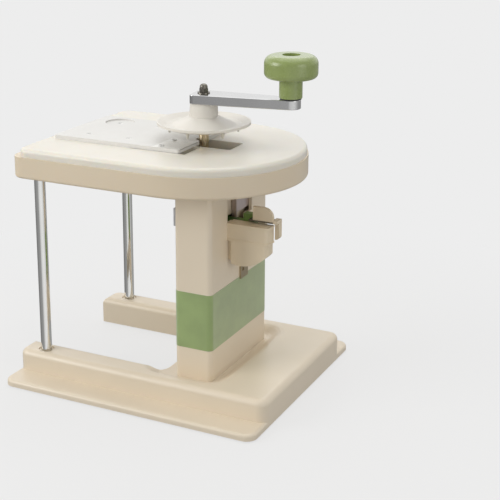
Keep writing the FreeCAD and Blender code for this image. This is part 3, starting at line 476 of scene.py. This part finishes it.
makeFeet({"radius": 0.007, "sides": 40, "height": 0.0015, "rim": 0.0016, "ring": 0.0016, "sunk": 0.0005,
          "plug": 0.0025, "plugHeight": 0.002, "soft": 0.0002,
          "places": [(-0.138, -0.1005, 0), (-0.138, 0.1005, 0), (0.089, -0.1005, 0), (0.089, 0.1005, 0),
                     (0, 0, 0)]})
print("feet made")


# floor, light and camera

def makeFloor(look):
    clearSelection()
    bpy.ops.mesh.primitive_plane_add(size=look["size"], location=(0, 0, 0))
    floor = bpy.context.object
    floor.name = "studioFloor"
    material = bpy.data.materials.new("floorPaper")
    material.use_nodes = True
    tree = material.node_tree
    tree.nodes.clear()
    output = tree.nodes.new("ShaderNodeOutputMaterial")
    paper = tree.nodes.new("ShaderNodeBsdfDiffuse")
    paper.inputs["Color"].default_value = look["paper"]
    shade = tree.nodes.new("ShaderNodeBsdfDiffuse")
    shade.inputs["Color"].default_value = look["shadePaper"]
    glow = tree.nodes.new("ShaderNodeEmission")
    glow.inputs["Color"].default_value = look["background"]
    clear = tree.nodes.new("ShaderNodeBsdfTransparent")
    rays = tree.nodes.new("ShaderNodeLightPath")
    place = tree.nodes.new("ShaderNodeTexCoord")
    length = tree.nodes.new("ShaderNodeVectorMath")
    length.operation = "LENGTH"
    tree.links.new(place.outputs["Object"], length.inputs[0])
    fade = spanOn(tree, length.outputs["Value"], look["nearGlow"], 1, look["fadeStart"], look["fadeEnd"])
    # the camera sees pale paper with a soft shadow, and the object gets a calmer bounce from it
    pale = mixOn(tree, fade, shade.outputs["BSDF"], glow.outputs["Emission"])
    seen = mathOn(tree, "MAXIMUM", rays.outputs["Is Camera Ray"], rays.outputs["Is Transmission Ray"])
    split = mixOn(tree, seen, paper.outputs["BSDF"], pale)
    # polished metal looks past the floor to the room, which is shaded in makeWorld
    final = mixOn(tree, rays.outputs["Is Glossy Ray"], split, clear.outputs["BSDF"])
    tree.links.new(final, output.inputs["Surface"])
    floor.data.materials.append(material)


def lightOn(tree, strength, colour=(1, 1, 1, 1)):
    light = tree.nodes.new("ShaderNodeBackground")
    light.inputs["Color"].default_value = colour
    light.inputs["Strength"].default_value = strength
    return light


def makeWorld(look):
    world = bpy.data.worlds.new("studio")
    bpy.context.scene.world = world
    world.use_nodes = True
    tree = world.node_tree
    tree.nodes.clear()
    output = tree.nodes.new("ShaderNodeOutputWorld")
    soft = lightOn(tree, look["softLight"])
    plain = lightOn(tree, 1, look["background"])
    # what polished metal sees: round the compass below eye level, and a pale wall above it
    place = tree.nodes.new("ShaderNodeTexCoord")
    parts = tree.nodes.new("ShaderNodeSeparateXYZ")
    tree.links.new(place.outputs["Generated"], parts.inputs["Vector"])
    front = tree.nodes.new("ShaderNodeMath")
    front.operation = "MULTIPLY"
    front.inputs[1].default_value = -1  # the compass starts at the object's front, which faces -Y
    tree.links.new(parts.outputs["Y"], front.inputs[0])
    compass = mathOn(tree, "ARCTAN2", parts.outputs["X"], front.outputs[0])
    around = spanOn(tree, compass, 0, 1, -math.pi, math.pi)

    def wallOn(strength, angles):
        wall = lightOn(tree, strength)
        stops = [((angle + 180) / 360, grey(value)) for angle, value in angles]
        tree.links.new(rampOn(tree, around, stops), wall.inputs["Color"])
        return wall.outputs["Background"]

    horizon = spanOn(tree, parts.outputs["Z"], 0, 1, look["horizonFrom"], look["horizonTo"])
    lowWall = wallOn(look["lowStrength"], look["lowRoom"])
    highWall = wallOn(look["highStrength"], look["highRoom"])
    room = mixOn(tree, horizon, lowWall, highWall)
    rays = tree.nodes.new("ShaderNodeLightPath")
    metal = mixOn(tree, rays.outputs["Is Glossy Ray"], soft.outputs["Background"], room)
    seen = mathOn(tree, "MAXIMUM", rays.outputs["Is Camera Ray"], rays.outputs["Is Transmission Ray"])
    final = mixOn(tree, seen, metal, plain.outputs["Background"])
    tree.links.new(final, output.inputs["Surface"])


def makeLamp(look):
    lamp = bpy.data.lights.new(look["name"], "AREA")
    lamp.shape = "RECTANGLE"
    lamp.size, lamp.size_y = look["size"]
    lamp.energy = look["power"]
    holder = bpy.data.objects.new(look["name"], lamp)
    bpy.context.scene.collection.objects.link(holder)
    holder.location = look["place"]
    aim = Vector(look["aim"]) - Vector(look["place"])
    holder.rotation_euler = aim.to_track_quat("-Z", "Y").to_euler()


def makeCamera(look):
    camera = bpy.data.cameras.new("photoCamera")
    camera.lens = look["lens"]
    camera.sensor_width = look["sensor"]
    camera.sensor_fit = "HORIZONTAL"
    camera.shift_x, camera.shift_y = look["shift"]
    camera.clip_start, camera.clip_end = look["clip"]
    holder = bpy.data.objects.new("photoCamera", camera)
    bpy.context.scene.collection.objects.link(holder)
    holder.location = look["place"]
    holder.rotation_euler = (math.radians(90 - look["down"]), 0, math.radians(look["turn"]))
    bpy.context.scene.camera = holder


paleBackground = tone(237, 237, 237)
makeCamera({"lens": 85.46, "sensor": 36, "shift": (0.05, -0.15), "clip": (0.01, 100),
            "place": (0.4847, -0.9239, 0.4765), "down": 15.16, "turn": 26.64})  # degrees
makeFloor({"size": 9, "paper": grey(0.46), "shadePaper": tone(236, 235, 233), "background": paleBackground,
           "nearGlow": 0.80, "fadeStart": 0.22, "fadeEnd": 0.5})
# the room's grey by compass angle, in degrees from the front towards +X
makeWorld({"softLight": 0.46, "background": paleBackground, "lowStrength": 1, "highStrength": 1.12,
           "horizonFrom": -0.08, "horizonTo": 0.10,
           "lowRoom": [(-180, 0.30), (-110, 0.20), (-62, 0.31), (-33, 0.36), (-12, 0.38), (12, 0.85),
                       (42, 1.0), (62, 0.98), (87, 0.77), (116, 0.43), (155, 0.42), (180, 0.34)],
           "highRoom": [(-180, 1.0), (-120, 0.9), (-60, 0.7), (0, 0.4), (45, 0.55), (100, 0.6),
                        (150, 0.95), (180, 1.0)]})
lamps = [
    {"name": "keyLamp", "size": (1.2, 1.0), "power": 18, "place": (-1.32, -1.2, 0.85), "aim": (0, 0, 0.15)},
    {"name": "sideLamp", "size": (1.0, 1.2), "power": 6, "place": (1.75, -0.6, 0.6), "aim": (0, 0, 0.15)},
    {"name": "topLamp", "size": (1.8, 1.8), "power": 11, "place": (0.1, 0.2, 1.75), "aim": (0, 0, 0.2)},
    {"name": "backLamp", "size": (2.0, 0.8), "power": 5, "place": (-0.9, 1.6, 1.45), "aim": (0, 0, 0.2)},
]
for lamp in lamps:
    makeLamp(lamp)
bpy.context.scene.view_settings.view_transform = "Standard"
print("floor, light and camera set")
